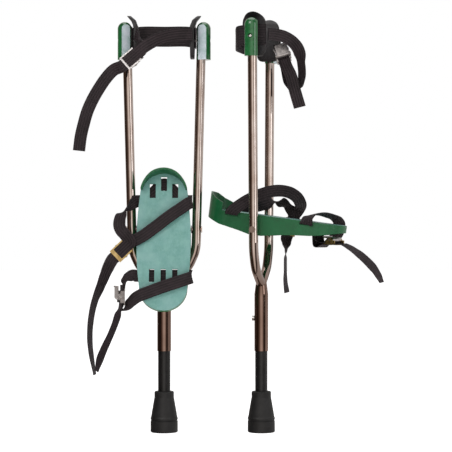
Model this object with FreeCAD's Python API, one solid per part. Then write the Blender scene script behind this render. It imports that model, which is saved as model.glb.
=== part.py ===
"""A pair of strap-on spring stilts, one upright facing the front and one turned nearly side-on.

Every stilt is drawn in its own frame, in millimetres: x across the leg, y towards the heel,
z up from the floor, with the toe pointing along -y. The left stilt stands at the origin as it is,
and the right one is turned about the vertical and set beside it.
"""
import FreeCAD, Part
import math
import os
from FreeCAD import Matrix, Vector

# Driving dimensions, mm and degrees
STILT_SPACING = 200.0          # between the two stilts' legs
RIGHT_YAW = 75.0               # how far the right stilt is turned about the vertical
PLATE_TILT = {"left": 76.0, "right": 7.5}   # toe-down angle of each foot plate at rest

UPRIGHT_R = 9.525              # 3/4 inch tube
UPRIGHT_WALL = 1.5
CAP_TUBE_TOP = 835.0           # top of the tubes, inside the caps
UPRIGHT_TOP_X = 77.5
UPRIGHT_KNEE = (65.6, 374.0)   # x and z where the tube starts to turn inwards
UPRIGHT_SHIN = (48.0, 336.0)
UPRIGHT_END = (-6.0, 299.0)    # past the middle, trimmed back to the leg tube
KNEE_R = 80.0
SHIN_R = 58.0

LEG_R = 14.3                   # lower chrome tube
LEG_BORE_R = 12.75
LEG_BOTTOM = 167.0
LEG_SHOULDER = 284.0
LEG_TOP = 312.0
LEG_NECK_R = 10.6

ROD_R = 12.7                   # black sliding tube
ROD_BORE_R = 10.7
ROD_BOTTOM = 44.0
ROD_TOP = 246.0
TRAVEL = 35.0                  # how far the leg can be pushed up
BOLT_Z = 234.0
BOLT_R = 3.0
SLOT_PLAY = 0.1

FOOT_BASE_R = 28.1
FOOT_BASE_H = 29.0
FOOT_COLLAR_R = 20.1
FOOT_TOP = 84.0

SPRING_WIRE_R = 1.5
SPRING_COIL_R = 8.6
SPRING_TURNS = 15

PIVOT_Z = 417.0
AXLE_R = 4.0
AXLE_GRIP = 76.6               # from the middle to the underside of the bolt's head
AXLE_HEAD_R = 6.6
AXLE_HEAD_T = 1.6
AXLE_THREAD_R = 3.0
AXLE_JOIN_X = -44.0             # where the bolt's thread starts inside the sleeve nut
BUSH_OUT_X = 56.9
FACE_W = 30.0                  # the standing face above the pivot
HEEL_V = -114.0                # plate coordinates: v towards the toe, w out of the face
TOE_V = 176.0
END_R = 49.0
HALF_WIDTH = 55.2
WALL = 3.5
HEEL_SLOT_V = -54.0
TOE_SLOT_V = 103.0

CAP_X = 81.2
CAP_R = 14.6
CAP_BOTTOM = 766.0
CAP_SPRING_Z = 829.5           # where the cap's dome starts
PAD_IN_X = 53.0
PAD_OUT_X = 63.2
PAD_BOTTOM = 768.0
PAD_TOP = 855.0
PAD_HALF = 24.0
CAP_FLAT_X = 67.2
CAP_FACET = 11.75               # from the cap's middle to each slanted flat
CAP_FACET_ANGLE = 105.0         # its direction, turned from straight outwards
SCREW_Z = 806.0

WEB = 25.0                     # narrow webbing
BAND = 42.0                    # the wide band behind the calf
BAND_Z = 811.0
WEB_T = 1.3
BUCKLE_L = 34.0
BUCKLE_W = 31.0
BUCKLE_H = 13.0
BUCKLE_BASE_T = 1.6
PIN_R = 2.0
PIN_N = 9.0
CAM_R = 6.0
LEVER_PLAY = 0.05

parts = {}
Z_AXIS = Vector(0, 0, 1)


def tube(radius, low, high):
    return Part.makeCylinder(radius, high - low, Vector(0, 0, low), Z_AXIS)


def cross_rod(radius, x_low, x_high, z, y=0.0):
    return Part.makeCylinder(radius, x_high - x_low, Vector(x_low, y, z), Vector(1, 0, 0))


def box(x, y, z):
    """A box from three (low, high) pairs."""
    size = (x[1] - x[0], y[1] - y[0], z[1] - z[0])
    return Part.makeBox(*size, Vector(x[0], y[0], z[0]))


def turned(profile):
    """A solid of revolution about z from (radius, z) points."""
    points = [Vector(r, 0, z) for r, z in profile]
    face = Part.Face(Part.makePolygon(points + points[:1]))
    return face.revolve(Vector(0, 0, 0), Z_AXIS, 360)


def mirrored(shape):
    return shape.mirror(Vector(0, 0, 0), Vector(1, 0, 0))


def frame_matrix(origin, along, normal):
    """Local x runs along, local z along the normal, and y completes the frame."""
    along = Vector(*along).normalize()
    normal = Vector(*normal)
    normal = (normal - along * normal.dot(along)).normalize()
    across = normal.cross(along)
    return Matrix(
        along.x, across.x, normal.x, origin[0],
        along.y, across.y, normal.y, origin[1],
        along.z, across.z, normal.z, origin[2],
        0, 0, 0, 1,
    )


# The frame and the sprung leg

def upright_path(radius):
    """A tube from under the leg's middle out to the knee and up, on the +x side."""
    corners = [
        Vector(UPRIGHT_END[0], 0, UPRIGHT_END[1]),
        Vector(UPRIGHT_SHIN[0], 0, UPRIGHT_SHIN[1]),
        Vector(UPRIGHT_KNEE[0], 0, UPRIGHT_KNEE[1]),
        Vector(UPRIGHT_TOP_X, 0, CAP_TUBE_TOP),
    ]
    edges = []
    last = corners[0]
    for corner, before, after, bend in (
        (corners[1], corners[0], corners[2], SHIN_R),
        (corners[2], corners[1], corners[3], KNEE_R),
    ):
        inward = (before - corner).normalize()
        outward = (after - corner).normalize()
        half_turn = (math.pi - inward.getAngle(outward)) / 2
        reach = bend * math.tan(half_turn)
        start = corner + inward * reach
        end = corner + outward * reach
        centre_way = (inward + outward).normalize()
        middle = corner + centre_way * (bend / math.cos(half_turn) - bend)
        edges.append(Part.LineSegment(last, start).toShape())
        edges.append(Part.Arc(start, middle, end).toShape())
        last = end
    edges.append(Part.LineSegment(last, corners[3]).toShape())
    path = Part.Wire(edges)
    first_way = (corners[1] - corners[0]).normalize()
    section = Part.Wire(Part.makeCircle(radius, corners[0], first_way))
    return path.makePipeShell([section], True, False)


def make_upright(leg_envelope):
    outer = upright_path(UPRIGHT_R)
    bore = upright_path(UPRIGHT_R - UPRIGHT_WALL)
    half = box((0, 200), (-50, 50), (250, 900))
    axle_hole = cross_rod(AXLE_R, 0, 100, PIVOT_Z)
    screw_hole = cross_rod(2.0, 0, 120, SCREW_Z)
    shape = outer.cut(bore).common(half).cut(leg_envelope)
    return shape.cut(axle_hole).cut(screw_hole)


def make_leg_tube():
    outer = turned([
        (0, LEG_BOTTOM), (LEG_R, LEG_BOTTOM), (LEG_R, LEG_SHOULDER),
        (LEG_NECK_R, LEG_TOP), (0, LEG_TOP),
    ])
    bore = tube(LEG_BORE_R, LEG_BOTTOM - 1, LEG_SHOULDER)
    bolt_hole = Part.makeCylinder(BOLT_R, 27.0, Vector(0, LEG_R + 1, BOLT_Z), Vector(0, -1, 0))
    return outer, outer.cut(bore).cut(bolt_hole)


def make_travel_bolt():
    """The stop bolt: its head is outside at the heel side and its tip is in the far wall."""
    shank = Part.makeCylinder(BOLT_R, 2 * LEG_R - 2.6, Vector(0, LEG_R, BOLT_Z), Vector(0, -1, 0))
    head = Part.makeCylinder(5.4, 4.6, Vector(0, LEG_R, BOLT_Z), Vector(0, 1, 0))
    socket = Part.makeCylinder(2.4, 2.4, Vector(0, LEG_R + 4.6, BOLT_Z), Vector(0, -1, 0))
    return shank.fuse(head).cut(socket).removeSplitter()


def make_foot_rod():
    shape = tube(ROD_R, ROD_BOTTOM, ROD_TOP).cut(tube(ROD_BORE_R, ROD_BOTTOM - 1, ROD_TOP + 1))
    half = BOLT_R + SLOT_PLAY
    slot = box((-half, half), (-30, 30), (BOLT_Z - TRAVEL - half, BOLT_Z + half))
    return shape.cut(slot)


def make_spring_cap():
    top = BOLT_Z - BOLT_R - SLOT_PLAY
    return turned([
        (0, top), (ROD_BORE_R - 0.1, top), (ROD_BORE_R - 0.1, top - 5),
        (6.0, top - 5), (6.0, top - 14), (0, top - 14),
    ])


def make_rod_plug():
    return turned([
        (0, ROD_BOTTOM - 3), (ROD_R, ROD_BOTTOM - 3), (ROD_R, ROD_BOTTOM), (ROD_BORE_R, ROD_BOTTOM),
        (ROD_BORE_R, ROD_BOTTOM + 12), (6.0, ROD_BOTTOM + 12), (6.0, ROD_BOTTOM + 20),
        (0, ROD_BOTTOM + 20),
    ])


def make_spring():
    low = ROD_BOTTOM + 12.2 + SPRING_WIRE_R
    high = BOLT_Z - BOLT_R - SLOT_PLAY - 5.2 - SPRING_WIRE_R
    pitch = (high - low) / SPRING_TURNS
    helix = Part.makeHelix(pitch, high - low, SPRING_COIL_R)
    helix.translate(Vector(0, 0, low))
    section = Part.Wire(Part.makeCircle(SPRING_WIRE_R, Vector(SPRING_COIL_R, 0, low), Vector(0, 1, 0)))
    return Part.Wire(helix).makePipeShell([section], True, True)


def make_rubber_foot():
    shape = turned([
        (0, 0), (FOOT_BASE_R - 1.5, 0), (FOOT_BASE_R, 1.5), (FOOT_BASE_R, 23.0),
        (FOOT_BASE_R - 1.2, 24.0), (FOOT_BASE_R - 1.2, 25.2), (FOOT_BASE_R, 26.2),
        (FOOT_BASE_R, FOOT_BASE_H), (FOOT_BASE_R - 1.3, 32.5), (FOOT_BASE_R - 2.6, 41.0),
        (FOOT_COLLAR_R, 72.0), (FOOT_COLLAR_R, FOOT_TOP - 1.5), (FOOT_COLLAR_R - 1.5, FOOT_TOP),
        (0, FOOT_TOP),
    ])
    shape = shape.cut(tube(ROD_R, ROD_BOTTOM - 3, FOOT_TOP + 1))
    for radius in (9.0, 15.0, 21.0):
        groove = tube(radius + 1.2, -1, 1.5).cut(tube(radius - 1.2, -2, 3))
        shape = shape.cut(groove)
    return shape


# The caps, pads and their screws, on the +x side

def make_cap():
    body = tube(CAP_R, CAP_BOTTOM, CAP_SPRING_Z)
    dome = Part.makeSphere(CAP_R, Vector(0, 0, CAP_SPRING_Z))
    shape = body.fuse(dome).removeSplitter()
    shape.translate(Vector(CAP_X, 0, 0))
    shape = shape.common(box((CAP_FLAT_X, 120), (-40, 40), (700, 900)))
    for side in (-1, 1):
        facet = box((CAP_FACET, 40), (-40, 40), (700, 900))
        facet.rotate(Vector(0, 0, 0), Z_AXIS, side * CAP_FACET_ANGLE)
        facet.translate(Vector(CAP_X, 0, 0))
        shape = shape.cut(facet)
    lean = math.degrees(math.atan2(UPRIGHT_TOP_X - UPRIGHT_KNEE[0], CAP_TUBE_TOP - UPRIGHT_KNEE[1]))
    bore = Part.makeCylinder(UPRIGHT_R, 200, Vector(0, 0, -200), Z_AXIS)
    bore.rotate(Vector(0, 0, 0), Vector(0, 1, 0), lean)
    bore.translate(Vector(UPRIGHT_TOP_X, 0, CAP_TUBE_TOP))
    screw_bore = cross_rod(4.6, 90.0, 120, SCREW_Z)
    return shape.cut(bore).cut(screw_bore).cut(cross_rod(2.0, 60, 120, SCREW_Z))


def make_cap_screw():
    shank = cross_rod(2.0, PAD_OUT_X - 3.5, 90.0, SCREW_Z)
    head = Part.makeCone(4.2, 2.6, 2.4, Vector(90.0, 0, SCREW_Z), Vector(1, 0, 0))
    return shank.fuse(head).removeSplitter()


def make_pad():
    """A flat pad with an arched top that leans out over the cap."""
    side = [
        Vector(PAD_IN_X, 0, PAD_BOTTOM), Vector(PAD_OUT_X, 0, PAD_BOTTOM),
        Vector(PAD_OUT_X, 0, 834), Vector(66.5, 0, 843), Vector(77.0, 0, 854.0),
        Vector(69.0, 0, PAD_TOP + 3.5), Vector(58.0, 0, 847), Vector(PAD_IN_X, 0, 832),
    ]
    shape = Part.Face(Part.makePolygon(side + side[:1])).extrude(Vector(0, 2 * PAD_HALF, 0))
    shape.translate(Vector(0, -PAD_HALF, 0))
    arch = cross_rod(PAD_HALF, 40, 100, PAD_TOP - 22.5).fuse(
        box((40, 100), (-PAD_HALF, PAD_HALF), (700, PAD_TOP - 22.5)))
    shape = shape.common(arch)
    shape = shape.cut(cross_rod(2.0, PAD_OUT_X - 3.5, 100, SCREW_Z))
    cap_clearance = Part.makeSphere(CAP_R + 0.3, Vector(CAP_X, 0, CAP_SPRING_Z))
    return shape.cut(cap_clearance)


# The foot plate, drawn with the pivot at the origin: x across, -y to the toe, z out of the face

def outline(inset):
    heel_centre = HEEL_V + END_R
    toe_centre = TOE_V - END_R
    end = END_R - inset
    half = HALF_WIDTH - inset
    middle = (heel_centre + toe_centre) / 2
    corners = [Vector(end, -heel_centre, 0), Vector(half, -middle, 0), Vector(end, -toe_centre, 0)]
    left = [Vector(-p.x, p.y, 0) for p in corners]
    edges = [
        Part.Arc(corners[0], corners[1], corners[2]).toShape(),
        Part.Arc(corners[2], Vector(0, -(TOE_V - inset), 0), left[2]).toShape(),
        Part.Arc(left[2], left[1], left[0]).toShape(),
        Part.Arc(left[0], Vector(0, -(HEEL_V + inset), 0), corners[0]).toShape(),
    ]
    return Part.Face(Part.Wire(edges))


def prism(inset, low, high):
    shape = outline(inset).extrude(Vector(0, 0, high - low))
    shape.translate(Vector(0, 0, low))
    return shape


def make_foot_plate():
    side = [
        (HEEL_V - 2, 14), (-79, 1.5), (-36, -6), (-12, -11.5), (14, -11.5), (48, -5),
        (83, -1), (113, 1.5), (142, 7.5), (TOE_V + 2, 16), (TOE_V + 2, FACE_W),
        (-76, FACE_W), (-76, 46), (-95, 54), (-107, 63), (HEEL_V - 2, 66),
    ]
    points = [Vector(-100, -v, w) for v, w in side]
    side_cut = Part.Face(Part.makePolygon(points + points[:1])).extrude(Vector(200, 0, 0))
    shape = prism(0, -30, 80).common(side_cut)
    shape = shape.cut(prism(WALL, -40, FACE_W - 4)).cut(prism(WALL, FACE_W, 90))
    for rib_v in (-25.0, 25.0):
        rib = box((-50, 50), (-rib_v - 1.5, -rib_v + 1.5), (6, FACE_W - 4)).common(prism(WALL, 0, 40))
        shape = shape.fuse(rib)
    for x, v_low, v_high, half in (
        (-23.0, -89, -59, 6.2), (0.0, -104, -74, 6.2), (23.0, -89, -59, 6.2),
        (-23.5, 90, 117, 5.4), (0.0, 90, 117, 5.4), (23.5, 90, 117, 5.4),
    ):
        shape = shape.cut(box((x - half, x + half), (-v_high, -v_low), (FACE_W - 6, FACE_W + 2)))
    for v in (HEEL_SLOT_V, TOE_SLOT_V):
        reach = WEB / 2 + 1.5
        shape = shape.cut(box((-70, 70), (-v - reach, -v + reach), (FACE_W - 8.2, FACE_W - 4)))
    boss = cross_rod(9.0, HALF_WIDTH - 9.5, HALF_WIDTH - 2.5, 0)
    shape = shape.fuse(boss).fuse(mirrored(boss))
    return shape.cut(cross_rod(AXLE_R + LEVER_PLAY, -80, 80, 0)).removeSplitter()


def make_plate_axle():
    """A sleeve bolt: a full-size shank, a thinner threaded end and a low round head."""
    shank = cross_rod(AXLE_R, AXLE_JOIN_X, AXLE_GRIP, PIVOT_Z)
    thread = cross_rod(AXLE_THREAD_R, AXLE_JOIN_X - 18, AXLE_JOIN_X, PIVOT_Z)
    head = cross_rod(AXLE_HEAD_R, AXLE_GRIP, AXLE_GRIP + AXLE_HEAD_T, PIVOT_Z)
    return shank.fuse(thread).fuse(head).removeSplitter()


def make_axle_nut():
    """The sleeve nut that the bolt screws into, with the same low head."""
    sleeve = cross_rod(AXLE_R, -AXLE_GRIP, AXLE_JOIN_X, PIVOT_Z)
    head = cross_rod(AXLE_HEAD_R, -AXLE_GRIP - AXLE_HEAD_T, -AXLE_GRIP, PIVOT_Z)
    bore = cross_rod(AXLE_THREAD_R, AXLE_JOIN_X - 18, 0, PIVOT_Z)
    return sleeve.fuse(head).cut(bore).removeSplitter()


def make_axle_bushes():
    ring = cross_rod(8.0, HALF_WIDTH + 0.3, BUSH_OUT_X, PIVOT_Z)
    ring = ring.cut(cross_rod(AXLE_R, 0, 80, PIVOT_Z))
    return Part.makeCompound([ring, mirrored(ring)])


# Cam buckles: x along the strap, y across it, z out of the base

def make_buckle_frame():
    half_l = BUCKLE_L / 2
    half_w = BUCKLE_W / 2
    base = box((-half_l, half_l), (-half_w, half_w), (0, BUCKLE_BASE_T))
    window = box((-half_l + 4, half_l - 4), (-half_w + 6, half_w - 6), (-1, 0.9))
    shape = base.cut(window)
    for side in (-1, 1):
        y_mid = side * (half_w - 1.0)
        cheek = box((-12, 12), (y_mid - 1.0, y_mid + 1.0), (0, BUCKLE_H - 4))
        round_top = Part.makeCylinder(7.0, 2.0, Vector(0, y_mid - 1.0, BUCKLE_H - 6.0), Vector(0, 1, 0))
        shape = shape.fuse(cheek).fuse(round_top)
    hole = Part.makeCylinder(PIN_R, 60, Vector(0, -30, PIN_N), Vector(0, 1, 0))
    return shape.cut(hole).removeSplitter()


def make_buckle_pin():
    length = BUCKLE_W + 2.4
    return Part.makeCylinder(PIN_R, length, Vector(0, -length / 2, PIN_N), Vector(0, 1, 0))


def make_buckle_lever():
    """The toothed cam and its thumb tab, which points back along the strap."""
    half = BUCKLE_W / 2 - 2.4
    cam = Part.makeCylinder(CAM_R, 2 * half, Vector(0, -half, PIN_N), Vector(0, 1, 0))
    tab = box((-20, 2), (-half, half), (PIN_N + 3.4, PIN_N + 5.8))
    lip = box((-22, -19), (-half, half), (PIN_N + 3.4, PIN_N + 7.4))
    hole = Part.makeCylinder(PIN_R + LEVER_PLAY, 60, Vector(0, -30, PIN_N), Vector(0, 1, 0))
    return cam.fuse(tab).fuse(lip).cut(hole).removeSplitter()


# Webbing

def webbing(stations, width, thickness=WEB_T):
    """A flat strap through stations of (x, forward, z) and a width direction in the same axes."""
    centres = [Vector(x, -forward, z) for (x, forward, z), _ in stations]
    rings = []
    for index, (_, way) in enumerate(stations):
        before = centres[max(index - 1, 0)]
        after = centres[min(index + 1, len(centres) - 1)]
        tangent = (after - before).normalize()
        across = Vector(way[0], -way[1], way[2])
        across = (across - tangent * across.dot(tangent)).normalize()
        if rings and across.dot(last_across) < 0:
            across = across * -1
        last_across = across
        up = tangent.cross(across).normalize()
        a = across * (width / 2)
        b = up * (thickness / 2)
        c = centres[index]
        rings.append([c + a + b, c - a + b, c - a - b, c + a - b])
    faces = [Part.Face(Part.makePolygon(rings[0] + rings[0][:1]))]
    for lower, upper in zip(rings, rings[1:]):
        for side in range(4):
            p, q = lower[side], lower[(side + 1) % 4]
            r, s = upper[(side + 1) % 4], upper[side]
            # both wide faces are split along the same way, so a twist stays evenly thick
            halves = ([p, q, s, p], [q, r, s, q]) if side == 2 else ([p, q, r, p], [p, r, s, p])
            faces += [Part.Face(Part.makePolygon(half)) for half in halves]
    faces.append(Part.Face(Part.makePolygon(rings[-1] + rings[-1][:1])))
    solid = Part.Solid(Part.makeShell(faces))
    if solid.Volume < 0:
        solid.reverse()
    return solid


# Where each buckle sits: base centre, direction of the strap through it, and outward normal,
# all as (x, forward, z)
BUCKLES = {
    "left": {
        "calf": ((-66, 56, 763), (-0.76, 0, -0.65), (0, -1, -0.1)),
        "heel": ((-86, 47, 373), (-0.72, 0, -0.69), (0, -1, 0)),
        "toe": ((-81, 60, 281), (0, 0, -1), (-0.95, 0.3, 0)),
    },
    "right": {
        "calf": ((40, 35, 779), (0.08, 0.29, -0.95), (-0.93, 0.35, 0.15)),
        "heel": ((79.6, 43, 422), (0, -0.35, -0.94), (1, 0, 0)),
        "toe": ((20, 150, 386), (-0.5, 0.86, -0.06), (0, 0, 1)),
    },
}


def forward_to_y(point):
    return (point[0], -point[1], point[2])


def buckle_matrix(side, name):
    origin, along, normal = BUCKLES[side][name]
    return frame_matrix(forward_to_y(origin), forward_to_y(along), forward_to_y(normal))


def buckle_station(side, name, along, out):
    """A webbing station at a place in the buckle's own frame."""
    matrix = buckle_matrix(side, name)
    point = matrix.multVec(Vector(along, 0, out))
    across = matrix.submatrix(3).multVec(Vector(0, 1, 0))
    return (point.x, -point.y, point.z), (across.x, -across.y, across.z)


def buckle_passage(side, name, entry=-1):
    """The straight stretch of webbing between a buckle's cam and its base, from the entry end."""
    middle = BUCKLE_BASE_T + LEVER_PLAY + WEB_T / 2
    reach = BUCKLE_L / 2 + 2
    places = [entry * step for step in (reach + 9, reach, 0, -reach, -reach - 5)]
    return [buckle_station(side, name, place, middle) for place in places]


def sewn_end(side, name, start=-11):
    """The webbing's other end, which is sewn round the back of its buckle's upper bar."""
    reach = BUCKLE_L / 2
    behind = -WEB_T / 2 - 0.3
    return [
        buckle_station(side, name, start, behind),
        buckle_station(side, name, -reach - 2, behind - 0.1),
        buckle_station(side, name, -reach - 9, behind - 1.2),
    ]


def under_plate(side, end_v, slot_v, middle_v, reach):
    """Webbing under the standing face: out through the skirt at each side, bowed in between."""
    tilt = math.radians(PLATE_TILT[side])
    w = FACE_W - 6
    along = (0, math.cos(tilt), -math.sin(tilt))
    half = [(reach, end_v), (48.5, end_v), (41, end_v), (22, slot_v), (0, middle_v)]
    plan = [(-x, v) for x, v in half] + half[-2::-1]
    stations = []
    for index, (x, v) in enumerate(plan):
        before = plan[max(index - 1, 0)]
        after = plan[min(index + 1, len(plan) - 1)]
        slope = (after[1] - before[1]) / (after[0] - before[0])
        forward = v * math.cos(tilt) + w * math.sin(tilt)
        z = PIVOT_Z - v * math.sin(tilt) + w * math.cos(tilt)
        stations.append(((x, forward, z), (-slope, along[1], along[2])))
    return stations


def calf_band(side):
    """The wide band behind the calf, pushed up on the left stilt and slack on the right."""
    rise = 1 if side == "left" else -1
    plan = [(26, 65.2, 0), (0, 65.2, 0), (-28, 65.2, 2), (-36, 60, 5), (-43, 42, 8), (-46, 0, 8)]
    stations = [((x, forward, BAND_Z + rise * lift), (0, 0, 1)) for forward, x, lift in plan]
    stations += [((-x, forward, z), way) for (x, forward, z), way in reversed(stations[:-1])]
    return webbing(stations, BAND).cut(cross_rod(2.3, -100, 100, SCREW_Z))


def calf_strap(side):
    """The strap in front of the calf: one piece carries the buckle, the other goes through it."""
    if side == "left":
        buckle_piece = [
            ((58, 29, 816), (0, 0.1, 1)),
            ((40, 37, 815), (0, 0.1, 1)),
            ((18, 45, 812), (0, 0.2, 0.95)),
            ((-4, 51, 806), (-0.2, 0.45, 0.85)),
            ((-24, 55.5, 796), (-0.5, 0.2, 0.8)),
            buckle_station(side, "calf", -32, -3.0),
            buckle_station(side, "calf", -19, -1.4),
            buckle_station(side, "calf", -10, -WEB_T / 2 - 0.3),
            buckle_station(side, "calf", 13, -WEB_T / 2 - 0.3),
        ]
        free_piece = [
            ((-58, 30, 816), (0, 0, 1)),
            ((-52, 38, 811), (-0.2, 0, 0.95)),
            ((-43, 49, 800), (-0.5, 0, 0.85)),
        ] + buckle_passage(side, "calf") + [
            ((-101, 45, 741), (-0.65, 0, 0.75)),
            ((-117, 44, 724), (-0.75, 0.1, 0.6)),
            ((-132, 43, 702), (-0.85, 0.1, 0.5)),
            ((-145, 43, 679), (-0.9, 0.15, 0.4)),
            ((-155, 43, 656), (-0.95, 0.2, 0.35)),
            ((-162, 42, 632), (-0.95, 0.2, 0.25)),
            ((-168, 41, 607), (-0.95, 0.2, 0.2)),
            ((-172, 40, 577), (-0.95, 0.2, 0.1)),
        ]
        return Part.makeCompound([webbing(buckle_piece, WEB), webbing(free_piece, WEB)])
    loop = [
        ((-58, 29, 812), (0, 0, 1)),
        ((-36, 39, 813), (0, 0, 1)),
        ((-10, 54, 810), (0, 0.1, 1)),
        ((13, 66, 800), (-0.2, 0.25, 0.9)),
        ((28, 73, 786), (-0.35, 0.45, 0.7)),
        ((40, 75, 763), (-0.6, 0.6, 0.35)),
        ((44, 76, 738), (-0.6, 0.75, 0.1)),
        ((43, 73, 716), (-0.7, 0.65, 0)),
        ((41, 65, 703), (-0.95, 0.2, 0.1)),
        ((43, 54, 708), (-0.95, -0.3, -0.1)),
        ((44, 47, 728), (-0.6, -0.75, -0.15)),
    ]
    tail = [
        buckle_station(side, "calf", 9.5, 4.8),
        buckle_station(side, "calf", 24, 7.0),
        ((30, 56, 734), (0.25, 0.92, 0.29)),
        ((29, 65, 702), (0.25, 0.92, 0.29)),
        ((28, 75, 669), (0.25, 0.92, 0.29)),
    ]
    through = buckle_passage(side, "calf", 1)
    return Part.makeCompound([webbing(loop + through, WEB), webbing(tail, WEB)])


def heel_strap(side):
    if side == "left":
        slots = under_plate(side, HEEL_SLOT_V, -72, -90, 53.5)
        stations = sewn_end(side, "heel", 9) + [
            ((-78, 52, 407), (0.95, 0, -0.35)),
            ((-85, 52, 415), (1, 0, -0.2)),
            ((-89, 51, 425), (1, 0, -0.1)),
            ((-87, 46, 443), (0.9, 0.1, 0.3)),
            ((-77, 36, 458), (0.6, 0, 0.75)),
            ((-64, 24, 469), (0.3, -0.2, 0.9)),
            ((-57, 14, 474.5), (0, -0.24, 0.97)),
        ] + slots + [
            ((56.5, 13, 475), (0, 0.24, -0.97)),
            ((57, 21, 473), (0.1, 0.2, -0.97)),
            ((50, 28, 470), (0.4, 0, -0.9)),
            ((34, 30, 459), (0.62, 0, -0.78)),
            ((12, 34, 444), (0.64, 0, -0.77)),
            ((-14, 38, 424), (0.64, 0, -0.77)),
            ((-40, 41, 405), (0.64, 0, -0.77)),
            ((-58, 43.5, 395), (0.66, 0, -0.75)),
        ] + buckle_passage(side, "heel") + [
            ((-110, 48, 344), (-0.65, 0.3, 0.65)),
            ((-119, 48, 323), (-0.7, 0.6, 0.35)),
            ((-128, 49, 300), (-0.6, 0.75, 0.25)),
            ((-139, 50, 272), (-0.45, 0.88, 0.15)),
            ((-146, 50, 240), (-0.4, 0.92, 0.1)),
            ((-149, 50, 204), (-0.35, 0.94, 0)),
            ((-147, 49, 168), (-0.3, 0.95, 0)),
            ((-139, 48, 122), (-0.15, 0.98, 0)),
        ]
        return webbing(stations, WEB)
    slots = under_plate(side, HEEL_SLOT_V, -72, -90, 53.5)[::-1]
    stations = sewn_end(side, "heel") + [
        ((77, 45, 458), (0, -0.9, 0.3)),
        ((71, 39, 466), (-0.3, -0.7, 0.4)),
        ((62, 29, 473), (-0.5, -0.8, 0.1)),
        ((52, 17, 475), (-0.2, -0.9, 0)),
        ((49.5, 3, 472), (0, -1, 0)),
        ((50, -14, 467), (0, -1, -0.1)),
        ((53, -32, 460), (0, -1, -0.2)),
        ((56.5, -44, 455), (0, -1, 0)),
        ((56.8, -50, 450), (0, -1, 0)),
    ] + slots + [
        ((-56.8, -50, 450), (0, 1, 0)),
        ((-57, -45, 456), (0, 1, -0.2)),
        ((-54, -32, 466), (0.1, 0.75, -0.6)),
        ((-46, -14, 478), (0.3, 0.5, -0.8)),
        ((-34, 9, 489), (0.4, 0.4, -0.8)),
        ((-13, 33, 496), (0.4, 0.1, -0.9)),
        ((11, 54, 494), (0.3, -0.3, -0.9)),
        ((33, 67, 484), (0, -0.7, -0.7)),
        ((53, 71, 470), (-0.1, -0.9, -0.3)),
        ((72, 65, 460), (-0.1, -0.95, -0.1)),
    ] + buckle_passage(side, "heel") + [
        ((81, 35, 388), (0.5, -0.85, 0.2)),
        ((80, 34, 374), (0.9, -0.4, 0.1)),
        ((79, 33, 356), (1, 0, 0)),
        ((78, 33, 334), (1, 0, 0)),
        ((78, 33, 308), (1, 0.1, 0)),
        ((79, 36, 284), (1, 0.2, 0)),
    ]
    return webbing(stations, WEB)


def toe_strap(side):
    if side == "left":
        slots = under_plate(side, TOE_SLOT_V, TOE_SLOT_V, TOE_SLOT_V, 54.5)
        stations = sewn_end(side, "toe") + [
            ((-78, 58, 314), (-0.3, -0.8, 0.4)),
            ((-69, 54, 321), (-0.1, -0.6, 0.75)),
            ((-61, 50, 323.5), (0, -0.24, 0.97)),
        ] + slots + [
            ((56, 50, 322), (0, 0.24, -0.97)),
            ((58, 58, 320), (0.1, 0.24, -0.97)),
            ((51, 65, 318), (0.3, 0, -0.93)),
            ((30, 68, 311), (0.3, 0, -0.95)),
            ((2, 70, 302), (0.3, 0, -0.95)),
            ((-28, 70, 291), (0.3, 0, -0.95)),
            ((-52, 69, 281), (0.3, 0.3, -0.9)),
            ((-69, 66, 266), (0.5, 0.6, -0.6)),
            ((-82.6, 61, 254.5), (0.3, 0.95, 0)),
        ] + buckle_passage(side, "toe", 1)[1:]
        tail = [
            buckle_station(side, "toe", 9.5, 4.8),
            buckle_station(side, "toe", 24, 6.5),
            ((-92, 62, 242), (0.55, 0.8, -0.15)),
            ((-98, 62, 224), (0.5, 0.85, -0.2)),
            ((-107, 64, 202), (0.5, 0.85, -0.2)),
            ((-117, 67, 180), (0.55, 0.8, -0.2)),
            ((-126, 70, 158), (0.6, 0.78, -0.2)),
            ((-134, 71, 131), (0.35, 0.92, -0.1)),
        ]
        return Part.makeCompound([webbing(stations, WEB), webbing(tail, WEB)])
    slots = under_plate(side, TOE_SLOT_V, TOE_SLOT_V, TOE_SLOT_V, 55)[::-1]
    stations = sewn_end(side, "toe") + [
        ((41, 118, 380.5), (0.7, 0.7, 0)),
        ((53, 110, 384), (0.4, 0.9, 0)),
        ((60, 107, 396), (0, 1, 0)),
        ((59.5, 106.3, 415), (0, 1, 0)),
    ] + slots + [
        ((-57, 107, 430), (0, 1, 0)),
        ((-54, 109, 440), (0, 0.95, 0.2)),
        ((-38, 117, 447), (-0.2, 0.9, 0.2)),
        ((-14, 130, 448.5), (-0.4, 0.85, 0.2)),
        ((12, 143, 444), (-0.4, 0.85, 0.2)),
        ((36, 150, 439), (-0.3, 0.9, 0.2)),
        ((54, 153, 428), (-0.1, 0.95, 0.2)),
        ((61, 148, 410), (0.1, 0.95, 0.1)),
        ((62, 138, 398), (0.5, 0.8, 0.1)),
        ((55, 123, 392), (0.9, 0.4, 0)),
        ((43, 117, 389.5), (1, 0.1, 0)),
    ] + buckle_passage(side, "toe") + [
        ((5, 188, 378), (0.9, 0.3, 0.2)),
        ((0, 208, 364), (0.85, 0.25, 0.4)),
        ((-4, 229, 345), (0.84, 0.25, 0.46)),
        ((-6, 243, 327), (0.9, 0.2, 0.38)),
        ((-7, 252, 310), (0.97, 0.1, 0.2)),
    ]
    return webbing(stations, WEB)


# One whole stilt

def place_plate(shape, side):
    shape = shape.copy()
    shape.rotate(Vector(0, 0, 0), Vector(1, 0, 0), PLATE_TILT[side])
    shape.translate(Vector(0, 0, PIVOT_Z))
    return shape


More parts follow.
